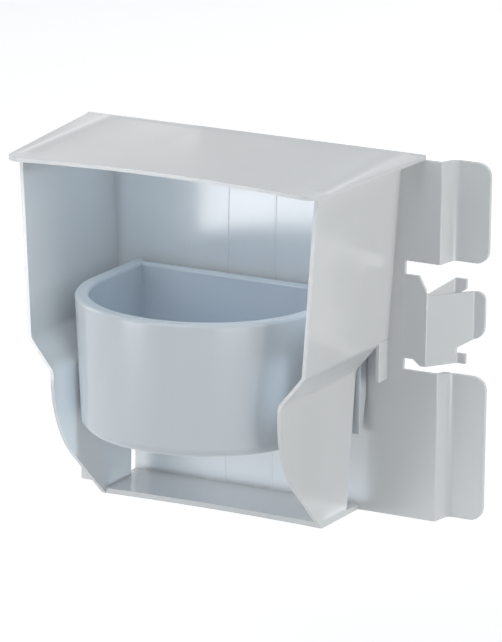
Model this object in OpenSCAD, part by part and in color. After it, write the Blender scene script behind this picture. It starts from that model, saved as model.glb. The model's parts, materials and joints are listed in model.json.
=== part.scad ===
// Hooded seed cup for a bird cage.
// A back plate lies on the cage wires. A hood of roof, two side walls and a shallow floor stands
// out in front of it. A D-shaped cup drops into guides behind the lower side walls. Two pads, a
// hook and a snap clip reach behind the wires.
// X runs across the plate, Y from the bird's side to the far side of the wires, Z up.
// The origin is on the rear face of the plate, at half its height and at the middle of the hood.

/* [Hood] */
// Width over the side walls, just under the roof
hood_w = 124; // [112:1:150]
// Height from the top of the floor to the top of the roof
hood_h = 136.2; // [132:0.2:170]
// Depth of the side walls, from the front of the plate
hood_d = 66.4; // [60:0.2:90]
// Thickness of the side walls
wall_t = 1.5; // [1.2:0.1:2.2]
// How far each side wall leans in between the roof and its step
wall_lean = 4.2; // [0.5:0.1:6]
// How far each side wall steps in above the cup guides
step_in = 9.6; // [8:0.2:14]
// Height of the step's lower edge above the floor
step_low = 53.5; // [48:0.5:60]
// Height that the step takes up
step_h = 11.9; // [8:0.1:16]
// Bend radius at the step
step_r = 4; // [2:0.5:6]
// How far each lower side wall leans in between the step and the floor
lower_lean = 1.5; // [0:0.1:3]
// Radius of the side wall's front edge where it turns back to the floor
cheek_r = 45; // [30:1:48]
// Angle that the front edge has turned through when it runs straight to the floor
cheek_angle = 48; // [38:1:52]

/* [Floor] */
// Depth of the floor at the side walls
floor_d = 29.5; // [24:0.5:34]
// Thickness of the floor
floor_t = 2; // [1.4:0.1:3]
// How far the middle of the floor's front edge lies back
floor_bow = 1.6; // [0.5:0.1:3]

/* [Roof] */
// How far the roof stands out beyond each side wall at the plate
eave_back = 9; // [6:0.2:14]
// How far the roof stands out beyond each side wall at its front edge
eave_front = 2.9; // [2.5:0.1:10]
// How far the roof stands out in front of the side walls
roof_over = 7.2; // [4:0.2:14]
// Thickness of the roof
roof_t = 1.4; // [1:0.1:2.4]
// How far the roof's front corners lie below the middle of its front edge
roof_arch = 2; // [0.5:0.1:5]
// Radius of the roof's front corners
roof_corner_r = 8; // [3:0.5:14]
// Width of the flat top of the bead on the roof over each side wall
bead_w = 2.4; // [1.6:0.1:2.8]
// Width of the slope on each side of a bead
bead_slope = 1.6; // [0.8:0.1:1.6]
// Height of the beads and of the strip along the roof's rear edge
bead_h = 0.4; // [0.2:0.1:1]

/* [Back plate] */
// Thickness of the back plate, the pads and the hook
plate_t = 1.6; // [1.2:0.1:2.4]
// Width of the plate between the right side wall's step and the window
window_side = 6.3; // [4:0.1:12]
// Width of the window
window_w = 14.5; // [12:0.1:20]
// Height of the window's lower edge above the floor, which is the lower pad's top
window_low = 54.7; // [50:0.1:58]
// Height of the window, which is the distance between the pads
window_h = 41.5; // [40:0.1:48]
// How far the plate shows beyond the left side wall
plate_margin = 2.2; // [0.5:0.1:3]
// Distance of the two ribs on the plate from its middle
rib_x = 10; // [6:0.5:18]
// Width of each rib
rib_w = 0.6; // [0.4:0.1:1.5]
// Height of each rib
rib_h = 0.2; // [0.1:0.1:0.8]

/* [Pads and hook] */
// Gap for the cage wires between the plane of the plate and the pads or the hook
wire_gap = 4.8; // [4.4:0.1:7]
// How far a fold runs sideways while it crosses the wire gap
fold_run = 2.4; // [1:0.1:5]
// Width of each pad beyond its fold
pad_w = 14; // [10:0.1:24]
// Corner radius of the pads
pad_r = 5; // [2:0.5:7]
// How far the pads' edges beside the window and at the bottom lie in from the plate's edges
pad_inset = 0.8; // [0:0.1:2]
// Radius of the crease where the pads, the hook and the clip's panel leave the plate
crease_r = 0.8; // [0.4:0.1:1]
// Radius in the hollow of the bend between a fold and its pad or the hook's arm
pad_bend_r = 3; // [1:0.5:3.5]
// Width of the hook's arm beyond its fold
hook_arm_w = 23.3; // [14:0.1:30]
// Height of the hook's arm
hook_arm_h = 16; // [10:1:24]
// Width of the hook's finger
hook_finger_w = 9; // [5:0.1:12]
// Length of the finger below the hook's arm
hook_finger_h = 26; // [14:0.5:34]
// How far the finger reaches below the top of the floor
hook_drop = 9.8; // [4:0.2:12]
// Corner radius of the hook
hook_r = 0.6; // [0.4:0.1:2.4]

/* [Snap clip] */
// Thickness of the clip
clip_t = 1.4; // [1:0.1:1.6]
// Gap between the root of the tongue and the plate
root_gap = 0.2; // [0.15:0.05:0.4]
// Gap between the window's lower edge and the tongue
tongue_gap = 4.4; // [2.6:0.1:5]
// Height of the clip's tongue
tongue_h = 31.9; // [30:0.1:33]
// Length of the tongue from the window's side to the fold
tongue_len = 9.3; // [8.4:0.1:10.5]
// Width of the sloping corner at the tongue's top
tongue_slope = 3.6; // [2:0.1:4]
// How far the fold's upper end lies below the tongue's top
fold_dip = 6.5; // [4:0.1:8]
// How far the fold's lower end lies below the tongue's bottom
fold_drop = 2.3; // [0:0.1:2.5]
// Angle that the clip's panel turns back from the plate
panel_angle = 51; // [42:1:54]
// Length of the panel from the fold to the thumb tab
panel_len = 19.5; // [16:0.1:24]
// Height of the panel where it meets the thumb tab
panel_end_h = 18.2; // [12:0.1:18.5]
// Height of the step in the panel's lower edge beside the lower catch's foot
notch_h = 2.1; // [0.5:0.1:2.2]
// Width of the thumb tab
thumb_w = 4.2; // [4:0.1:9]
// Radius of the thumb tab's upper corner
thumb_high_r = 3; // [1:0.1:4]
// Radius of the thumb tab's lower corner
thumb_low_r = 5; // [1:0.1:5]
// Angle that the two catches turn back from the plate
catch_angle = 57; // [56:1:64]
// Radius in the hollow of the bends at the thumb tab and at the catches' feet
tab_bend_r = 1.6; // [0.5:0.1:1.8]
// Height of each catch where it leaves the fold
catch_root = 0.6; // [0.4:0.1:1]
// Length of the upper catch from the fold to its foot
high_catch_len = 12; // [9:0.1:13]
// Length of the lower catch from the fold to its foot
low_catch_len = 13.6; // [10:0.1:14]
// How far the upper catch rises from the fold to its foot
catch_rise = 5; // [4:0.1:6]
// Height of each catch's foot
foot_h = 3.8; // [2.5:0.1:4]
// Length of the upper catch's foot
high_foot_len = 4.6; // [3:0.1:7]
// Length of the lower catch's foot
low_foot_len = 3.3; // [2:0.1:5]

/* [Seed cup] */
// Play between the cup's side and the lower side wall, at the step
cup_play = 0.3; // [0.2:0.05:1]
// Height of the cup
cup_h = 50.9; // [40:0.1:54]
// Length of the straight sides, from the cup's rear to its half-round front
cup_straight = 32; // [22:0.2:40]
// How much narrower each side of the cup is at the bottom than at the rim
cup_draft = 3; // [2:0.1:5]
// How much narrower each side of the cup's hollow is at the bottom than at the rim
hollow_draft = 1; // [0.5:0.1:2]
// Thickness of the cup's bottom
cup_t = 2.2; // [1.5:0.1:3]
// Radius of the cup's bottom edge
cup_edge_r = 4; // [3.2:0.2:6]
// Width of the rim at the sides and the front, where the walls are thickest
rim_w = 5.4; // [5:0.1:7]
// Thickness of the cup's rear wall, and width of its rim
rear_rim_w = 3.2; // [3.2:0.1:5]
// Height of the rim
rim_h = 3.6; // [3:0.1:5]
// Radius of the rim's upper edges
rim_r = 1.4; // [0.5:0.1:1.4]
// Gap between the cup's rear and the plate
cup_gap = 4; // [2.5:0.1:5]
// Height of the cup's bottom above the floor
cup_lift = 32.5; // [24:0.5:36]

/* [Cup ears and guides] */
// Reach of each ear beyond the lower side wall's outer face
ear_reach = 1.6; // [1.4:0.1:5]
// Thickness of the ears
ear_t = 5.2; // [3.4:0.1:5.4]
// Gap between the ears and the plate
ear_gap = 1.2; // [0.4:0.1:2]
// Height of the ears
ear_h = 44; // [30:1:46]
// How far the ears reach below the cup
ear_drop = 3.6; // [0:0.1:5]
// Height of the slope at each ear's lower rear corner
ear_slope_h = 14; // [6:1:24]
// Depth of that slope
ear_slope_d = 3; // [0.5:0.1:3.2]
// Play between each ear and the rear edge of the side wall
ear_play = 0.4; // [0.3:0.1:1]
// How much deeper the guide slot is at the floor than at the step
guide_flare = 3; // [0:0.1:5]
// How far each guide leg reaches below the top of the step
leg_h = 15.2; // [8:0.2:20]

/* [Cup rests] */
// Distance from the cup's side to the middle of each rest
rest_inset = 15.2; // [12:0.2:30]
// Width of each rest
rest_w = 8; // [4:1:12]
// How far each rest reaches under the cup
rest_reach = 8; // [7:0.5:12]
// Thickness of each rest
rest_t = 4; // [2:0.5:6]
// Play between the cup and the rests
rest_play = 0.2; // [0.1:0.1:0.5]

/* [Hidden] */
$fn = 96;
arc_steps = 10;
roof_steps = 20;
plastic = [0.80, 0.81, 0.81];
cup_plastic = [0.76, 0.79, 0.82];

front = -plate_t;
step_high = step_low + step_h;
plate_top = hood_h - roof_t;
plate_mid = (plate_top - floor_t) / 2;
roof_d = hood_d + roof_over;
roof_front_x = hood_w / 2 + eave_front;

// Outer line of a side wall at four heights: roof, both ends of the step, underside of the floor
wall_top = [hood_w / 2, hood_h];
wall_high = [hood_w / 2 - wall_lean, step_high];
wall_low = [wall_high.x - step_in, step_low];
wall_foot = [wall_low.x - lower_lean, -floor_t];

window_x = wall_high.x + window_side;
window_high = window_low + window_h;
plate_right = window_x + window_w;
plate_left = wall_foot.x + plate_margin;

cup_rear = front - cup_gap;
cup_centre = cup_rear - cup_straight;
cup_top = cup_lift + cup_h;
cup_low_r = wall_low.x - wall_t - cup_play - cup_draft * (step_low - cup_lift) / cup_h;
cup_r = cup_low_r + cup_draft;
hollow_r = cup_r - rim_w;
rest_x = cup_low_r - rest_inset;
ear_rear = front - ear_gap;
ear_front = ear_rear - ear_t;
guide_rear = ear_front - ear_play;

tongue_low = window_low + tongue_gap;
tongue_high = tongue_low + tongue_h;
fold = [window_x + tongue_len, front];
fold_low = tongue_low - fold_drop;
fold_high = tongue_high - fold_dip;
panel_low = fold_low + catch_root;
panel_high = fold_high - catch_root;
hinge = [window_x + root_gap + clip_t / 2, front + clip_t / 2];
panel_end = fold + panel_len * heading(panel_angle);
clip_line = [[hinge.x, front], fold, panel_end, panel_end + [thumb_w, 0]];
low_catch_end = fold + low_catch_len * heading(catch_angle);
high_catch_end = fold + high_catch_len * heading(catch_angle);

// Unit vector at an angle
function heading(a) = [cos(a), sin(a)];

// Unit vector along v
function unit(v) = v / norm(v);

// Vector v turned a quarter to the left
function left_of(v) = [-v.y, v.x];

// Points in reverse order
function reversed(p) = [for (i = [len(p) - 1 : -1 : 0]) p[i]];

// Points mirrored to the other side of the middle, in reverse order
function other_side(p) = [for (q = reversed(p)) [-q.x, q.y]];

// Points of an arc about a centre, from angle a0 to angle a1
function arc(centre, r, a0, a1) =
    [for (i = [0 : arc_steps]) centre + r * heading(a0 + (a1 - a0) * i / arc_steps)];

// Points of an arc of radius r that rounds the corner b between a and c
function corner(a, b, c, r) =
    let (
        u = unit(a - b),
        v = unit(c - b),
        half = acos(u * v) / 2,
        centre = b + unit(u + v) * r / sin(half),
        from = b + u * r / tan(half) - centre,
        start = atan2(from.y, from.x),
        turn = (2 * half - 180) * sign(cross(u, v))
    )
    arc(centre, r, start, start + turn);

// Where the left face of a sheet of thickness t lies at each bend of the line p
function mitres(p, t) =
    let (
        last = len(p) - 1,
        sides = [for (i = [0 : last - 1]) left_of(unit(p[i + 1] - p[i]))]
    )
    [for (i = [0 : last])
        let (a = sides[max(i - 1, 0)], b = sides[min(i, last - 1)])
        p[i] + (a + b) * t / (1 + a * b)];

// One face of a sheet between the bends i and k of the line p, rounded at each bend by the radius
// in r. A face that starts or ends at a bend has only its own half of the rounding.
function sheet_face(p, i, k, r) =
    let (half = arc_steps / 2)
    [for (j = [i : k]) each
        j == 0 || j == len(p) - 1 ? [p[j]] :
        let (bend = corner(p[j - 1], p[j], p[j + 1], r[j - 1]))
        [for (n = [j == i ? half : 0 : j == k ? half : arc_steps]) bend[n]]];

// Outline of a bent sheet of thickness t between the bends i and k of the line p. The first bend
// is a crease, and the hollow of the second one has radius r.
function sheet(p, t, i, k, r) = concat(
    sheet_face(p, i, k, [crease_r, r]),
    reversed(sheet_face(mitres(p, t), i, k, [crease_r, r + t]))
);

// Outer line of a side wall seen from the front, moved in by the given inset
function wall_line(inset) =
    let (
        top = wall_top - [inset, 0],
        high = wall_high - [inset, 0],
        low = wall_low - [inset, 0],
        foot = wall_foot - [inset, 0]
    )
    concat([top], corner(top, high, low, step_r), corner(high, low, foot, step_r), [foot]);

// Height of the roof's upper face at x and depth y
function roof_z(x, y) = hood_h - max(0, (front - y) / roof_d) * roof_arch * pow(x / roof_front_x, 2);

// Puts a piece drawn from the top of the floor into the part's frame
module hang() {
    translate([0, 0, -plate_mid]) children();
}

// Extrudes an outline drawn in X and Z between two depths
module along_y(y0, y1) {
    translate([0, y1, 0]) rotate([90, 0, 0]) linear_extrude(y1 - y0) children();
}

// Extrudes an outline drawn in Y and Z between two distances from the middle
module along_x(x0, x1) {
    translate([x0, 0, 0]) rotate([90, 0, 90]) linear_extrude(x1 - x0) children();
}

// Extrudes an outline drawn in X and Y between two heights
module along_z(z0, z1) {
    translate([0, 0, z0]) linear_extrude(z1 - z0) children();
}

// Back plate with the window for the clip and two ribs on its front
module back_plate() {
    color(plastic) hang() {
        along_y(front, 0) polygon([
            [-plate_left, -floor_t],
            [-plate_left, step_low],
            [-wall_high.x - plate_margin, step_high],
            [-wall_top.x - plate_margin, plate_top],
            [plate_right - plate_t, plate_top],
            [plate_right - plate_t, window_high],
            [window_x, window_high],
            [window_x, window_low],
            [plate_right - plate_t, window_low],
            [plate_right - plate_t, -floor_t]
        ]);
        for (side = [-1, 1])
            translate([side * rib_x - rib_w / 2, front - rib_h, 0]) cube([rib_w, rib_h, plate_top]);
    }
}

// Pad behind the wires, with the fold that joins it to the plate between heights z0 and z1. Its
// edges lie in from these heights by inset0 and inset1.
module wire_pad(z0, z1, inset0, inset1) {
    line = [
        [plate_right - plate_t, front],
        [plate_right, front],
        [plate_right + fold_run, wire_gap],
        [plate_right + fold_run + pad_w, wire_gap]
    ];
    low = [line[2].x, z0 + inset0];
    high = [line[2].x, z1 - inset1];
    low_corner = [line[3].x, low.y];
    high_corner = [line[3].x, high.y];
    color(plastic) hang() intersection() {
        along_z(z0, z1) polygon(sheet(line, plate_t, 0, 3, pad_bend_r));
        along_y(front, wire_gap + plate_t) polygon(concat(
            [[line[0].x, z0], [line[1].x, z0], low],
            corner(low, low_corner, high_corner, pad_r),
            corner(low_corner, high_corner, high, pad_r),
            [high, [line[1].x, z1], [line[0].x, z1]]
        ));
    }
}

module upper_wire_pad() {
    wire_pad(window_high, plate_top, pad_inset, 0);
}

module lower_wire_pad() {
    wire_pad(-floor_t, window_low, pad_inset, pad_inset);
}

// Hook behind the wires at the plate's left edge: a fold, an arm and a finger that points down
module wire_hook() {
    line = [
        [plate_left, front],
        [plate_left + plate_t, front],
        [plate_left + plate_t + fold_run, wire_gap],
        [plate_left + plate_t + fold_run + hook_arm_w, wire_gap]
    ];
    low = -hook_drop;
    arm_low = low + hook_finger_h;
    arm_high = arm_low + hook_arm_h;
    x0 = line[0].x;
    x1 = line[3].x;
    finger_x = x1 - hook_finger_w;
    color(plastic) hang() mirror([1, 0, 0]) intersection() {
        along_z(low, arm_high) polygon(sheet(line, plate_t, 0, 3, pad_bend_r));
        along_y(front, wire_gap + plate_t) polygon(concat(
            [[x0, arm_low]],
            corner([x0, arm_low], [finger_x, arm_low], [finger_x, low], hook_r),
            corner([finger_x, arm_low], [finger_x, low], [x1, low], hook_r),
            corner([finger_x, low], [x1, low], [x1, arm_high], hook_r),
            corner([x1, low], [x1, arm_high], [x0, arm_high], hook_r),
            [[x0, arm_high]]
        ));
    }
}

// Side wall seen from the side: straight front edge, then a round cheek back to the floor
module wall_side() {
    foot = [front - floor_d, -floor_t];
    cheek_end_y = front - hood_d + cheek_r * (1 - cos(cheek_angle));
    cheek_end_z = foot.y + (foot.x - cheek_end_y) / tan(cheek_angle);
    centre = [front - hood_d + cheek_r, cheek_end_z + cheek_r * sin(cheek_angle)];
    polygon(concat(
        [[front, roof_z(wall_top.x, front) - roof_t], [front, step_high]],
        [[guide_rear, step_high], [guide_rear, step_low], [guide_rear - guide_flare, foot.y], foot],
        arc(centre, cheek_r, 180 + cheek_angle, 180),
        [[front - hood_d, roof_z(wall_top.x, front - hood_d) - roof_t]]
    ));
}

module side_wall() {
    intersection() {
        along_y(front - hood_d, front) polygon(concat(wall_line(0), reversed(wall_line(wall_t))));
        along_x(0, hood_w) wall_side();
    }
}

module right_side_wall() {
    color(plastic) hang() side_wall();
}

module left_side_wall() {
    color(plastic) hang() mirror([1, 0, 0]) side_wall();
}

// Floor between the side walls, its front edge bowed back in the middle
module floor_ledge() {
    half = wall_foot.x - wall_t;
    rear = guide_rear - guide_flare;
    bow_r = (half * half + floor_bow * floor_bow) / (2 * floor_bow);
    bow_angle = asin(half / bow_r);
    color(plastic) hang() along_z(-floor_t, 0) polygon(concat(
        arc([0, front - floor_d + floor_bow - bow_r], bow_r, 90 - bow_angle, 90 + bow_angle),
        [[-half, rear], [-plate_left, rear], [-plate_left, front]],
        [[wall_foot.x, front], [wall_foot.x, rear], [half, rear]]
    ));
}

// Leg that carries an upper side wall down past its step and keeps the cup's ear in
module cup_guide() {
    along_y(guide_rear, front)
        translate([wall_high.x - wall_t, step_high - leg_h]) square([wall_t, leg_h]);
}

module right_cup_guide() {
    color(plastic) hang() cup_guide();
}

module left_cup_guide() {
    color(plastic) hang() mirror([1, 0, 0]) cup_guide();
}

// Lug on the plate that the cup stands on
module cup_rest() {
    along_y(cup_rear - rest_reach, front)
        translate([rest_x - rest_w / 2, cup_lift - rest_play - rest_t]) square([rest_w, rest_t]);
}

module right_cup_rest() {
    color(plastic) hang() cup_rest();
}

module left_cup_rest() {
    color(plastic) hang() mirror([1, 0, 0]) cup_rest();
}

// Roof: a sheet that is straight along the plate and arched at the front, with a strip along its
// rear edge and a bead over each wall. Its rows run across the hood, from the plate to the front.
module roof() {
    back = [wall_top.x + eave_back, 0];
    tip = [roof_front_x, front - roof_d];
    side = corner(back, tip, [0, tip.y], roof_corner_r);
    bead_end = side[0].y + roof_corner_r / 4;
    edge = function (y) back.x + (side[0].x - back.x) * y / side[0].y;
    rows = concat(
        [for (y = [0, front, front - bead_h, bead_end, bead_end - bead_h]) [edge(y), y]],
        side
    );
    strip_rows = 2;
    bead_rows = 4;
    bead_x = wall_top.x - (wall_t + bead_w) / 2 - bead_slope;
    beads = bead_x * [1, 1, 1, 1] + [0, bead_slope, bead_slope + bead_w, 2 * bead_slope + bead_w];
    field = [for (i = [1 : roof_steps - 1]) bead_x * (2 * i / roof_steps - 1)];
    xs = concat(-1 * reversed(beads), field, beads);
    bead = [0, bead_h, bead_h, 0];
    rises = concat([0], bead, 0 * field, bead, [0]);
    n = len(rises);
    m = len(rows);
    grid = [for (j = [0 : m - 1])
        let (shrink = min(1, rows[j].x / side[0].x))
        concat([-rows[j].x], shrink * xs, [rows[j].x])];
    upper = [for (j = [0 : m - 1]) for (i = [0 : n - 1])
        let (x = grid[j][i], rise = j < strip_rows ? bead_h : j < bead_rows ? rises[i] : 0)
        [x, rows[j].y, roof_z(x, rows[j].y) + rise]];
    under = [for (j = [0 : m - 1]) for (x = grid[j]) [x, rows[j].y, roof_z(x, rows[j].y) - roof_t]];
    cells = [for (j = [0 : m - 2]) for (i = [0 : n - 2]) j * n + i];
    base = m * n;
    color(plastic) hang() polyhedron(concat(upper, under), concat(
        [for (a = cells) [a, a + 1, a + n + 1]],
        [for (a = cells) [a, a + n + 1, a + n]],
        [for (a = cells) [base + a, base + a + n + 1, base + a + 1]],
        [for (a = cells) [base + a, base + a + n, base + a + n + 1]],
        [for (i = [0 : n - 2]) [i + 1, i, base + i]],
        [for (i = [0 : n - 2]) [i + 1, base + i, base + i + 1]],
        [for (i = [0 : n - 2]) let (a = base - n + i) [a, a + 1, base + a + 1]],
        [for (i = [0 : n - 2]) let (a = base - n + i) [a, base + a + 1, base + a]],
        [for (j = [0 : m - 2]) let (a = j * n) [a, a + n, base + a + n]],
        [for (j = [0 : m - 2]) let (a = j * n) [a, base + a + n, base + a]],
        [for (j = [0 : m - 2]) let (a = j * n + n - 1) [a + n, a, base + a]],
        [for (j = [0 : m - 2]) let (a = j * n + n - 1) [a + n, base + a, base + a + n]]
    ));
}

// Tongue of the snap clip, with a round root that turns at the window's side
module clip_tongue() {
    color(plastic) hang() {
        intersection() {
            along_z(fold_low, tongue_high) polygon(sheet(clip_line, clip_t, 0, 1, tab_bend_r));
            along_y(front, 0) polygon([
                [hinge.x, tongue_low],
                [fold.x - 2 * fold_drop - clip_t / 2, tongue_low],
                [fold.x - fold_drop, fold_low],
                [fold.x, fold_low],
                [fold.x, fold_high],
                [fold.x - tongue_slope, tongue_high],
                [hinge.x, tongue_high]
            ]);
        }
        translate([hinge.x, hinge.y, tongue_low]) cylinder(r = clip_t / 2, h = tongue_h);
    }
}

// Panel of the snap clip, which turns back from the tongue through the wires
module clip_panel() {
    color(plastic) hang() intersection() {
        along_z(fold_low, fold_high) polygon(sheet(clip_line, clip_t, 1, 2, tab_bend_r));
        along_y(front, panel_end.y + clip_t) polygon([
            [fold.x - clip_t, panel_low],
            [fold.x, panel_low],
            [low_catch_end.x, fold_low + foot_h],
            [low_catch_end.x, fold_low + foot_h + notch_h],
            [panel_end.x, panel_high - panel_end_h],
            [panel_end.x, panel_high],
            [fold.x - clip_t, panel_high]
        ]);
    }
}

module thumb_tab() {
    x0 = panel_end.x - clip_t;
    x1 = panel_end.x + thumb_w;
    z0 = panel_high - panel_end_h;
    z1 = panel_high;
    color(plastic) hang() intersection() {
        along_z(z0, z1) polygon(sheet(clip_line, clip_t, 2, 3, tab_bend_r));
        along_y(front, panel_end.y + clip_t) polygon(concat(
            [[x0, z0]],
            corner([x0, z0], [x1, z0], [x1, z1], thumb_low_r),
            corner([x1, z0], [x1, z1], [x0, z1], thumb_high_r),
            [[x0, z1]]
        ));
    }
}

// Catch of the snap clip, between heights z0 and z1: a sloping blade beside the panel, from the
// fold to its end, and a flat foot beyond it. Its face is cut to the given outline.
module clip_catch(end, foot_len, z0, z1, outline) {
    line = [fold - heading(panel_angle - catch_angle), fold, end, end + [foot_len, 0]];
    color(plastic) hang() intersection() {
        along_z(z0, z1) polygon(sheet(line, clip_t, 1, 3, tab_bend_r));
        along_y(front, end.y + clip_t) polygon(outline);
    }
}

module upper_catch() {
    end = high_catch_end;
    top = fold_high + catch_rise;
    notch_x = fold.x + (end.y - front) / tan(panel_angle);
    clip_catch(end, high_foot_len, panel_high, top, [
        [fold.x - clip_t, panel_high],
        [notch_x, panel_high],
        [end.x + high_foot_len, top - foot_h],
        [end.x + high_foot_len, top],
        [end.x, top],
        [fold.x, fold_high],
        [fold.x - clip_t, fold_high]
    ]);
}

module lower_catch() {
    end = low_catch_end;
    top = fold_low + foot_h;
    clip_catch(end, low_foot_len, fold_low, top, [
        [fold.x - clip_t, fold_low],
        [end.x + low_foot_len, fold_low],
        [end.x + low_foot_len, top],
        [end.x, top],
        [fold.x, panel_low],
        [fold.x - clip_t, panel_low]
    ]);
}

// D-shaped solid with the given section: a half turn at the front and straight sides to the rear
module d_solid(section, rear) {
    translate([0, cup_centre, 0]) rotate([0, 0, 180]) rotate_extrude(angle = 180) polygon(section);
    along_y(cup_centre, rear) polygon(concat(section, other_side(section)));
}

// Section from the middle outward of a cup with radius low_r at its bottom and high_r at the
// height of the rim, cut off at height z_end
function cup_section(low_r, high_r, z, edge_r, z_end) =
    let (
        low = [low_r, z],
        high = [high_r, cup_top],
        end_x = low_r + (high_r - low_r) * (z_end - z) / (cup_top - z)
    )
    concat(
        [[0, z]],
        corner([0, z], low, high, edge_r),
        [[end_x, z_end], [0, z_end]]
    );

// Outside of the cup up to height z_end
module cup_body(z_end) {
    d_solid(cup_section(cup_low_r, cup_r, cup_lift, cup_edge_r, z_end), cup_rear);
}

// Cup without its rim
module seed_cup() {
    top = cup_top - rim_h;
    color(cup_plastic) hang() difference() {
        cup_body(top);
        d_solid(
            cup_section(hollow_r - hollow_draft, hollow_r, cup_lift + cup_t, cup_edge_r, top + 1),
            cup_rear - rear_rim_w
        );
    }
}

// Rim around the cup's mouth
module cup_rim() {
    base = cup_top - rim_h;
    outer_x = cup_r - cup_draft * rim_h / cup_h;
    inner_x = hollow_r - hollow_draft * rim_h / (cup_h - cup_t);
    ring = concat(
        [[inner_x, base], [outer_x, base]],
        corner([outer_x, base], [cup_r, cup_top], [hollow_r, cup_top], rim_r),
        corner([cup_r, cup_top], [hollow_r, cup_top], [inner_x, base], rim_r)
    );
    inner_y = cup_rear - rear_rim_w;
    rear_bar = concat(
        [[inner_y, base], [cup_rear, base]],
        corner([cup_rear, base], [cup_rear, cup_top], [inner_y, cup_top], rim_r),
        corner([cup_rear, cup_top], [inner_y, cup_top], [inner_y, base], rim_r)
    );
    color(cup_plastic) hang() {
        translate([0, cup_centre, 0]) rotate([0, 0, 180]) rotate_extrude(angle = 180) polygon(ring);
        along_y(cup_centre, cup_rear) {
            polygon(ring);
            polygon(other_side(ring));
        }
        along_x(-hollow_r - rim_r, hollow_r + rim_r) polygon(rear_bar);
    }
}

// Ear at the rear of the cup, which runs in the slot between the side wall and the plate
module cup_ear() {
    z0 = cup_lift - ear_drop;
    z1 = z0 + ear_h;
    difference() {
        along_x(cup_low_r, wall_low.x + ear_reach) polygon([
            [ear_front, z0],
            [ear_rear - ear_slope_d, z0],
            [ear_rear, z0 + ear_slope_h],
            [ear_rear, z1],
            [ear_front, z1]
        ]);
        cup_body(cup_top);
    }
}

module right_cup_ear() {
    color(cup_plastic) hang() cup_ear();
}

module left_cup_ear() {
    color(cup_plastic) hang() mirror([1, 0, 0]) cup_ear();
}

back_plate();
left_side_wall();
right_side_wall();
roof();
floor_ledge();
left_cup_guide();
right_cup_guide();
left_cup_rest();
right_cup_rest();
upper_wire_pad();
lower_wire_pad();
wire_hook();
clip_tongue();
clip_panel();
upper_catch();
lower_catch();
thumb_tab();
seed_cup();
cup_rim();
left_cup_ear();
right_cup_ear();
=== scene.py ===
import json
import math

import bmesh
import bpy
from mathutils import Matrix, Vector
from mathutils.bvhtree import BVHTree
from mathutils.geometry import convex_hull_2d, intersect_point_line


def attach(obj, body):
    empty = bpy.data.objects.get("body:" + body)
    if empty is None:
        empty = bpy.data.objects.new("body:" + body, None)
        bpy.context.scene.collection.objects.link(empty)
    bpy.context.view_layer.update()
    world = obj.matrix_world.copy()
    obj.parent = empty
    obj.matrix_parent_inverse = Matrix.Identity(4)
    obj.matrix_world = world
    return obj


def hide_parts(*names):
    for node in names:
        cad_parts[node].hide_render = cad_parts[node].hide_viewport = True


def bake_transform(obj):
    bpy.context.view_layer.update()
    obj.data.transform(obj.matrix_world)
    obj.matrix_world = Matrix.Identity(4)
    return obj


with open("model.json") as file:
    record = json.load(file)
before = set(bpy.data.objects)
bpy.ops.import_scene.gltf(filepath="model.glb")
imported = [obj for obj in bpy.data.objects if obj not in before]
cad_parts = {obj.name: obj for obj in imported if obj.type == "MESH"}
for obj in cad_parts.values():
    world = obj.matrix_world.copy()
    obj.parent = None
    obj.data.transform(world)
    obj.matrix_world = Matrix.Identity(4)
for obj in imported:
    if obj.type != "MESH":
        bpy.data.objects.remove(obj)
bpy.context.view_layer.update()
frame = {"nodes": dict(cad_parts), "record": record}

MM = 0.001
NODES = frame["nodes"]
BODIES = frame["record"]["behaviour"]["bodies"]
BODY_OF = {name: body for body, members in BODIES.items() for name in members}

# Camera at the photograph's viewing angle
YAW, ELEVATION, ROLL = (math.radians(a) for a in (27.848, 14.537, 0.809))
CAMERA_AT = Vector((921.79, -1745.87, 509.75)) * MM
LENS, SENSOR = 304.51, 36

# Edges of the mouldings
EDGE_R = 0.32 * MM             # rounding of the free edges
EDGE_STEPS = 3                 # faces across that rounding
TOUCH = 0.25 * MM              # an edge nearer to another piece than this stays as it is
WELD = 0.002 * MM              # points nearer than this are one point
ONE_FACE = math.radians(0.4)   # neighbouring faces that turn by less than this become one
SHARP = math.radians(28)       # an edge that turns by more than this is rounded
ROOF_SHARP = math.radians(60)  # the same for the roof, whose top is gently arched
CREASE = math.radians(35)      # an edge that turns by less than this is shaded smooth
RIM_REACH = 0.3 * MM           # an edge nearer to the outline than this belongs to it

# The roof's beads: where they end, where they start to fade, and the foot of the rear strip's slope
SAME = 0.05 * MM
BEAD_END_Y = (-66.2 * MM, -65.8 * MM)
BEAD_FADE_Y = -55 * MM
STRIP_FOOT_Y = (-2.0 * MM, -3.6 * MM)

# Where the clip's tongue meets the plate: across, front to rear, and bottom to top
ROOT_X = (64.1 * MM, 65.0 * MM)
WEB_Y = (-1.6 * MM, -0.2 * MM)
ROOT_Z = (-7.24 * MM, 24.54 * MM)
WEB_GROOVE = 0.3 * MM
WEB_COLUMNS = 10

# The plastic: sizes of its marks as noise scales, and how far they change its colour and roughness
FLOW, SCUFF, SPECK, GRAIN = 16.0, 140.0, 60.0, 1100.0
FLOW_STRETCH = (1, 1, 0.35)
FLOW_SHADES = (0.965, 1.025)
RUBBED_SHADE, RUBBED_ROUGH = 1.12, 0.12
ROUGH_SPREAD = (0.85, 1.2)
PLASTIC_IOR = 1.5

# The surroundings
FLOOR_Z, FLOOR_SIZE = -0.16, 2.6
FLOOR_GREY, FLOOR_GLOW = (0.8, 0.8, 0.8, 1), 0.55
SKY_COLOUR, SKY_LIGHT = (0.84, 0.93, 1.0, 1), 0.27

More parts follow.
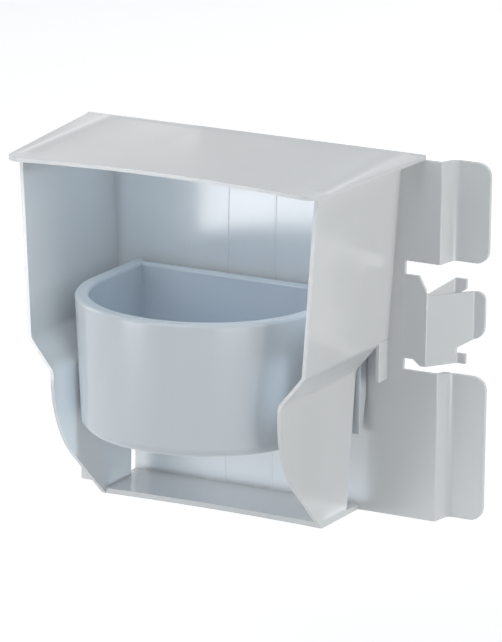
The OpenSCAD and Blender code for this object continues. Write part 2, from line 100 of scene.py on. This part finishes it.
LAMPS = [
    # name, azimuth, elevation, distance, width, height, power, colour
    ("key", -20, 15, 1.6, 0.5, 0.5, 3.0, (0.94, 0.97, 1.0)),
    ("front_high", -5, 48, 1.6, 0.8, 0.8, 4.3, (0.96, 0.98, 1.0)),
    ("right_side", 88, 8, 1.6, 0.8, 1.0, 10.6, (1.0, 0.99, 0.97)),
    ("left_side", -95, 15, 1.6, 1.0, 1.0, 4.8, (1.0, 1.0, 1.0)),
    ("rear", 180, 38, 1.6, 1.4, 0.9, 3.6, (1.0, 1.0, 1.0)),
    ("rear_low", 176, 4, 1.6, 0.9, 0.6, 3.4, (1.0, 1.0, 1.0)),
    ("low_card", -32, -10.5, 0.62, 0.24, 0.10, 0.67, (1.0, 0.99, 0.99)),
]
# Doesn't light the object, and shows only as a reflection along rounded edges and creases
GLINT = ("glint", 50, -12, 0.58, 0.30, 0.08, 0.5, (1.0, 1.0, 1.0))

# Faint panels just inside the walls, for light that the thin plastic lets through, and one over the rim
BLUISH, COOL, BLUE = (0.72, 0.87, 1.0), (0.9, 0.97, 1.0), (0.3, 0.55, 1.0)
DOWN, UP, LEFT, RIGHT, REAR = (0, 0, -1), (0, 0, 1), (-1, 0, 0), (1, 0, 0), (0, 1, 0)
GLOWS = [
    # name, place, facing, width, height, power, colour
    ("through_roof", (0, -0.042, 0.063), DOWN, 0.112, 0.076, 0.0130, BLUISH),
    ("through_left_wall", (-0.057, -0.032, 0.032), RIGHT, 0.056, 0.056, 0.003, BLUISH),
    ("through_right_wall", (0.057, -0.034, 0.028), LEFT, 0.064, 0.06, 0.006, BLUISH),
    ("through_left_cheek", (-0.0445, -0.060, -0.032), LEFT, 0.016, 0.05, 0.001, BLUISH),
    ("through_right_cheek", (0.0462, -0.062, -0.010), LEFT, 0.012, 0.024, 0.0004, BLUISH),
    ("through_left_step", (-0.049, -0.060, 0.003), LEFT, 0.020, 0.020, 0.0002, BLUISH),
    ("over_rim", (0, -0.081, 0.055), DOWN, 0.10, 0.012, 0.0045, COOL),
    ("through_cup", (0, -0.030, -0.037), DOWN, 0.08, 0.03, 0.0013, BLUISH),
    ("through_cup_front", (0, -0.066, -0.006), REAR, 0.05, 0.028, 0.0028, BLUE),
    ("through_floor", (0, -0.016, -0.0655), UP, 0.10, 0.026, 0.0048, BLUISH),
]
# Stands behind the roof, and shows only as a reflection in it
ROOF_CARD = ("roof_card", (-0.134, 0.097, 0.0835), (0.485, -0.875, 0), 0.10, 0.04, 0.0085, (1, 1, 1))


# ---------------------------------------------------------------- camera and lamps

def add_object(name, data):
    made = bpy.data.objects.new(name, data)
    bpy.context.scene.collection.objects.link(made)
    return made


def direction(azimuth, elevation):
    """Unit vector away from the object; azimuth 0 is straight in front, positive to the right."""
    return Vector((math.sin(azimuth) * math.cos(elevation),
                   -math.cos(azimuth) * math.cos(elevation),
                   math.sin(elevation)))


def make_camera():
    out = direction(YAW, ELEVATION)
    level = Vector((math.cos(YAW), math.sin(YAW), 0))
    lift = out.cross(level)
    right = math.cos(ROLL) * level + math.sin(ROLL) * lift
    up = math.cos(ROLL) * lift - math.sin(ROLL) * level
    data = bpy.data.cameras.new("camera")
    data.sensor_width = SENSOR
    data.lens = LENS
    data.clip_start, data.clip_end = 0.1, 20
    camera = add_object("camera", data)
    turn = Matrix((right, up, out)).transposed().to_4x4()
    camera.matrix_world = Matrix.Translation(CAMERA_AT) @ turn
    bpy.context.scene.camera = camera


def light_panel(name, at, facing, width, height, power, colour, lights=True, mirrored=True):
    """A soft panel that the camera doesn't see: it lights the object, shows in glossy faces, or both."""
    data = bpy.data.lights.new(name, "AREA")
    data.shape = "RECTANGLE"
    data.size, data.size_y = width, height
    data.energy = power
    data.color = colour
    panel = add_object(name, data)
    panel.location = at
    panel.rotation_mode = "QUATERNION"
    panel.rotation_quaternion = Vector(facing).to_track_quat("-Z", "Y")
    panel.visible_camera = False
    panel.visible_diffuse = lights
    panel.visible_glossy = mirrored


def lamp(name, azimuth, elevation, distance, *rest, lights=True):
    """A studio lamp that looks at the object's middle."""
    way = direction(math.radians(azimuth), math.radians(elevation))
    light_panel(name, way * distance, -way, *rest, lights=lights)


# ---------------------------------------------------------------- materials

def node(tree, kind, at=(0, 0), **values):
    made = tree.nodes.new(kind)
    made.location = at
    for key, value in values.items():
        if hasattr(made, key):
            setattr(made, key, value)
        else:
            made.inputs[key.replace("_", " ")].default_value = value
    return made


def tinted(colour, share):
    return (*[min(1, c * share) for c in colour], 1)


def colour_socket(sockets, name):
    return next(s for s in sockets if s.name == name and s.type == "RGBA")


def moulded_plastic(name, colour, roughness):
    """Glossy moulded plastic: faint flow marks, fine grain, and edges rubbed slightly paler and duller."""
    material = bpy.data.materials.new(name)
    material.use_nodes = True
    tree = material.node_tree
    link = tree.links.new
    shader = tree.nodes["Principled BSDF"]
    shader.inputs["IOR"].default_value = PLASTIC_IOR
    place = node(tree, "ShaderNodeTexCoord", (-1300, 0))

    stretch = node(tree, "ShaderNodeMapping", (-1100, 200), Scale=FLOW_STRETCH)
    link(place.outputs["Object"], stretch.inputs["Vector"])
    flow = node(tree, "ShaderNodeTexNoise", (-900, 200), Scale=FLOW, Detail=3.0, Distortion=0.6)
    link(stretch.outputs["Vector"], flow.inputs["Vector"])
    shade = node(tree, "ShaderNodeValToRGB", (-700, 200))
    for stop, position, share in zip(shade.color_ramp.elements, (0.25, 0.75), FLOW_SHADES):
        stop.position = position
        stop.color = tinted(colour, share)
    link(flow.outputs["Fac"], shade.inputs["Fac"])

    edges = node(tree, "ShaderNodeAttribute", (-1300, -150), attribute_name="rounded")
    scuff = node(tree, "ShaderNodeTexNoise", (-1100, -200), Scale=SCUFF, Detail=3.0)
    link(place.outputs["Object"], scuff.inputs["Vector"])
    patch = node(tree, "ShaderNodeMapRange", (-900, -200), From_Min=0.4, From_Max=0.7)
    link(scuff.outputs["Fac"], patch.inputs["Value"])
    worn = node(tree, "ShaderNodeMath", (-700, -100), operation="MULTIPLY")
    link(edges.outputs["Fac"], worn.inputs[0])
    link(patch.outputs["Result"], worn.inputs[1])
    rubbed = node(tree, "ShaderNodeMix", (-450, 200), data_type="RGBA")
    link(worn.outputs[0], rubbed.inputs["Factor"])
    link(shade.outputs["Color"], colour_socket(rubbed.inputs, "A"))
    colour_socket(rubbed.inputs, "B").default_value = tinted(colour, RUBBED_SHADE)
    link(colour_socket(rubbed.outputs, "Result"), shader.inputs["Base Color"])

    speck = node(tree, "ShaderNodeTexNoise", (-900, -350), Scale=SPECK, Detail=5.0)
    link(place.outputs["Object"], speck.inputs["Vector"])
    smooth, dull = (roughness * share for share in ROUGH_SPREAD)
    rough = node(tree, "ShaderNodeMapRange", (-700, -350), To_Min=smooth, To_Max=dull)
    link(speck.outputs["Fac"], rough.inputs["Value"])
    duller = node(tree, "ShaderNodeMath", (-450, -250), operation="MULTIPLY_ADD")
    duller.inputs[1].default_value = RUBBED_ROUGH
    link(worn.outputs[0], duller.inputs[0])
    link(rough.outputs["Result"], duller.inputs[2])
    link(duller.outputs[0], shader.inputs["Roughness"])

    grain = node(tree, "ShaderNodeTexNoise", (-900, -600), Scale=GRAIN, Detail=2.0)
    link(place.outputs["Object"], grain.inputs["Vector"])
    bump = node(tree, "ShaderNodeBump", (-450, -500), Strength=0.04, Distance=0.0001)
    link(grain.outputs["Fac"], bump.inputs["Height"])
    link(bump.outputs["Normal"], shader.inputs["Normal"])
    return material


PLASTIC = {
    "hood_plastic": moulded_plastic("hood_plastic", (0.735, 0.74, 0.74), 0.16),
    "cup_plastic": moulded_plastic("cup_plastic", (0.60, 0.635, 0.665), 0.14),
}


# ---------------------------------------------------------------- pieces

def collider(name):
    data = NODES[name].data
    return BVHTree.FromPolygons([v.co for v in data.vertices], [p.vertices for p in data.polygons])


COLLIDERS = {name: collider(name) for name in BODY_OF}


def is_free(edge, name):
    """True where an edge stays clear of every other piece along its whole run."""
    a, b = (v.co for v in edge.verts)
    for part in (0.02, 0.5, 0.98):
        point = a.lerp(b, part)
        for other, tree in COLLIDERS.items():
            if other != name and tree.find_nearest(point, TOUCH)[0] is not None:
                return False
    return True


def outline_of(points):
    """Outline of a flat piece, seen from above, as closed pairs of corners."""
    flat = [p.to_2d() for p in points]
    ring = [flat[i] for i in convex_hull_2d(flat)]
    return list(zip(ring, ring[1:] + ring[:1]))


def on_outline(edge, outline):
    for v in edge.verts:
        p = v.co.to_2d()
        if all((p - intersect_point_line(p, a, b)[0].to_2d()).length > RIM_REACH for a, b in outline):
            return False
    return True


def soften_beads(made):
    """The roof's beads fade out towards its front corners, and its rear strip rises gently."""
    everything = made.verts[:] + made.edges[:] + made.faces[:]
    bmesh.ops.bisect_plane(made, geom=everything, plane_co=(0, BEAD_FADE_Y, 0), plane_no=(0, 1, 0))
    columns = {}
    for v in made.verts:
        columns.setdefault((round(v.co.x / SAME), round(v.co.y / SAME)), []).append(v)
    tops = [max(column, key=lambda v: v.co.z) for column in columns.values() if len(column) > 1]
    beyond = {round(v.co.x / SAME): v.co.z for v in tops if abs(v.co.y - BEAD_END_Y[0]) < 2 * SAME}
    for v in tops:
        if abs(v.co.y - BEAD_END_Y[1]) < 2 * SAME:
            v.co.z = beyond.get(round(v.co.x / SAME), v.co.z)
        elif abs(v.co.y - STRIP_FOOT_Y[0]) < 2 * SAME:
            v.co.y = STRIP_FOOT_Y[1]


def round_edges(made, edges):
    """Rounds the edges and marks the new faces, so that the material can wear them."""
    rounded = made.faces.layers.float.new("rounded")
    if edges:
        cut = bmesh.ops.bevel(made, geom=edges, offset=EDGE_R, offset_type="OFFSET", segments=EDGE_STEPS,
                              profile=0.5, affect="EDGES", clamp_overlap=True, loop_slide=True)
        for face in cut["faces"]:
            face[rounded] = 1.0


def finish_piece(name):
    """A node's own form again, in one skin, with its free edges rounded as the mould leaves them."""
    made = bmesh.new()
    made.from_mesh(NODES[name].data)
    bmesh.ops.remove_doubles(made, verts=made.verts, dist=WELD)
    if name == "roof":
        soften_beads(made)
    bmesh.ops.dissolve_limit(made, angle_limit=ONE_FACE, verts=made.verts, edges=made.edges)
    keen = [e for e in made.edges
            if len(e.link_faces) == 2 and e.calc_face_angle(0) > SHARP and is_free(e, name)]
    soft = set()
    if name == "roof":
        outline = outline_of([v.co for v in made.verts])
        keen = [e for e in keen if on_outline(e, outline) and e.calc_face_angle(0) > ROOF_SHARP]
        soft = {v.co.copy().freeze() for e in made.edges if not on_outline(e, outline) for v in e.verts}
    round_edges(made, keen)
    for face in made.faces:
        face.smooth = True
    for edge in made.edges:
        blended = soft and all(v.co.copy().freeze() in soft for v in edge.verts)
        edge.smooth = blended or edge.calc_face_angle(0) < CREASE
    mesh = bpy.data.meshes.new(name + "_finished")
    made.to_mesh(mesh)
    made.free()
    piece = add_object(name + "_finished", mesh)
    even = piece.modifiers.new("even_normals", "WEIGHTED_NORMAL")
    even.keep_sharp = True
    even.weight = 100
    slot = "cup_plastic" if BODY_OF[name] == "cup" else "hood_plastic"
    mesh.materials.append(PLASTIC[slot])
    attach(piece, BODY_OF[name])
    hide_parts(name)


def clip_root_web():
    """The web that joins the clip's tongue to the plate: flush in front, grooved behind as on a hinge."""
    plate_side, root_mid = ROOT_X
    front, rear = WEB_Y
    low, high = ROOT_Z
    made = bmesh.new()
    rows = []
    for i in range(WEB_COLUMNS + 1):
        part = i / WEB_COLUMNS
        x = plate_side + (root_mid - plate_side) * part
        y = rear - WEB_GROOVE * math.sin(math.pi * part)
        rows.append([made.verts.new(corner) for corner in (
            (x, front, low), (x, y, low), (x, y, high), (x, front, high))])
    for a, b in zip(rows, rows[1:]):
        for k in range(4):
            made.faces.new((a[k], b[k], b[(k + 1) % 4], a[(k + 1) % 4]))
    made.faces.new(rows[0])
    made.faces.new(reversed(rows[-1]))
    bmesh.ops.recalc_face_normals(made, faces=made.faces)
    mesh = bpy.data.meshes.new("clip_root_web")
    made.to_mesh(mesh)
    made.free()
    mesh.materials.append(PLASTIC["hood_plastic"])
    web = add_object("clip_root_web", mesh)
    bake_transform(web)


# ---------------------------------------------------------------- surroundings

def show_where_seen(tree, plain, shown, out):
    """The camera and glossy or clear faces see one shader, and all other rays meet the plain one."""
    link = tree.links.new
    rays = node(tree, "ShaderNodeLightPath")
    glossy = node(tree, "ShaderNodeMath", operation="MAXIMUM")
    clear = node(tree, "ShaderNodeMath", operation="MAXIMUM")
    pick = node(tree, "ShaderNodeMixShader")
    link(rays.outputs["Is Camera Ray"], glossy.inputs[0])
    link(rays.outputs["Is Glossy Ray"], glossy.inputs[1])
    link(glossy.outputs[0], clear.inputs[0])
    link(rays.outputs["Is Transmission Ray"], clear.inputs[1])
    link(clear.outputs[0], pick.inputs[0])
    link(plain.outputs[0], pick.inputs[1])
    link(shown.outputs[0], pick.inputs[2])
    link(pick.outputs[0], out.inputs[0])


def make_floor():
    bpy.ops.mesh.primitive_plane_add(size=FLOOR_SIZE, location=(0, 0, FLOOR_Z))
    floor = bpy.context.object
    floor.name = "floor"
    material = bpy.data.materials.new("floor")
    material.use_nodes = True
    tree = material.node_tree
    tree.nodes.clear()
    out = node(tree, "ShaderNodeOutputMaterial")
    matt = node(tree, "ShaderNodeBsdfDiffuse", Color=FLOOR_GREY)
    glow = node(tree, "ShaderNodeEmission", Strength=FLOOR_GLOW)
    both = node(tree, "ShaderNodeAddShader")
    tree.links.new(matt.outputs[0], both.inputs[0])
    tree.links.new(glow.outputs[0], both.inputs[1])
    show_where_seen(tree, matt, both, out)
    floor.data.materials.append(material)


def make_world():
    world = bpy.data.worlds.new("studio")
    bpy.context.scene.world = world
    world.use_nodes = True
    tree = world.node_tree
    tree.nodes.clear()
    out = node(tree, "ShaderNodeOutputWorld")
    soft = node(tree, "ShaderNodeBackground", Color=SKY_COLOUR, Strength=SKY_LIGHT)
    white = node(tree, "ShaderNodeBackground", Color=(1, 1, 1, 1), Strength=1.0)
    show_where_seen(tree, soft, white, out)


make_camera()
for values in LAMPS:
    lamp(*values)
lamp(*GLINT, lights=False)
for values in GLOWS:
    light_panel(*values, mirrored=False)
light_panel(*ROOF_CARD, lights=False)
for name in BODY_OF:
    finish_piece(name)
clip_root_web()
make_floor()
make_world()
bpy.context.scene.view_settings.view_transform = "Standard"
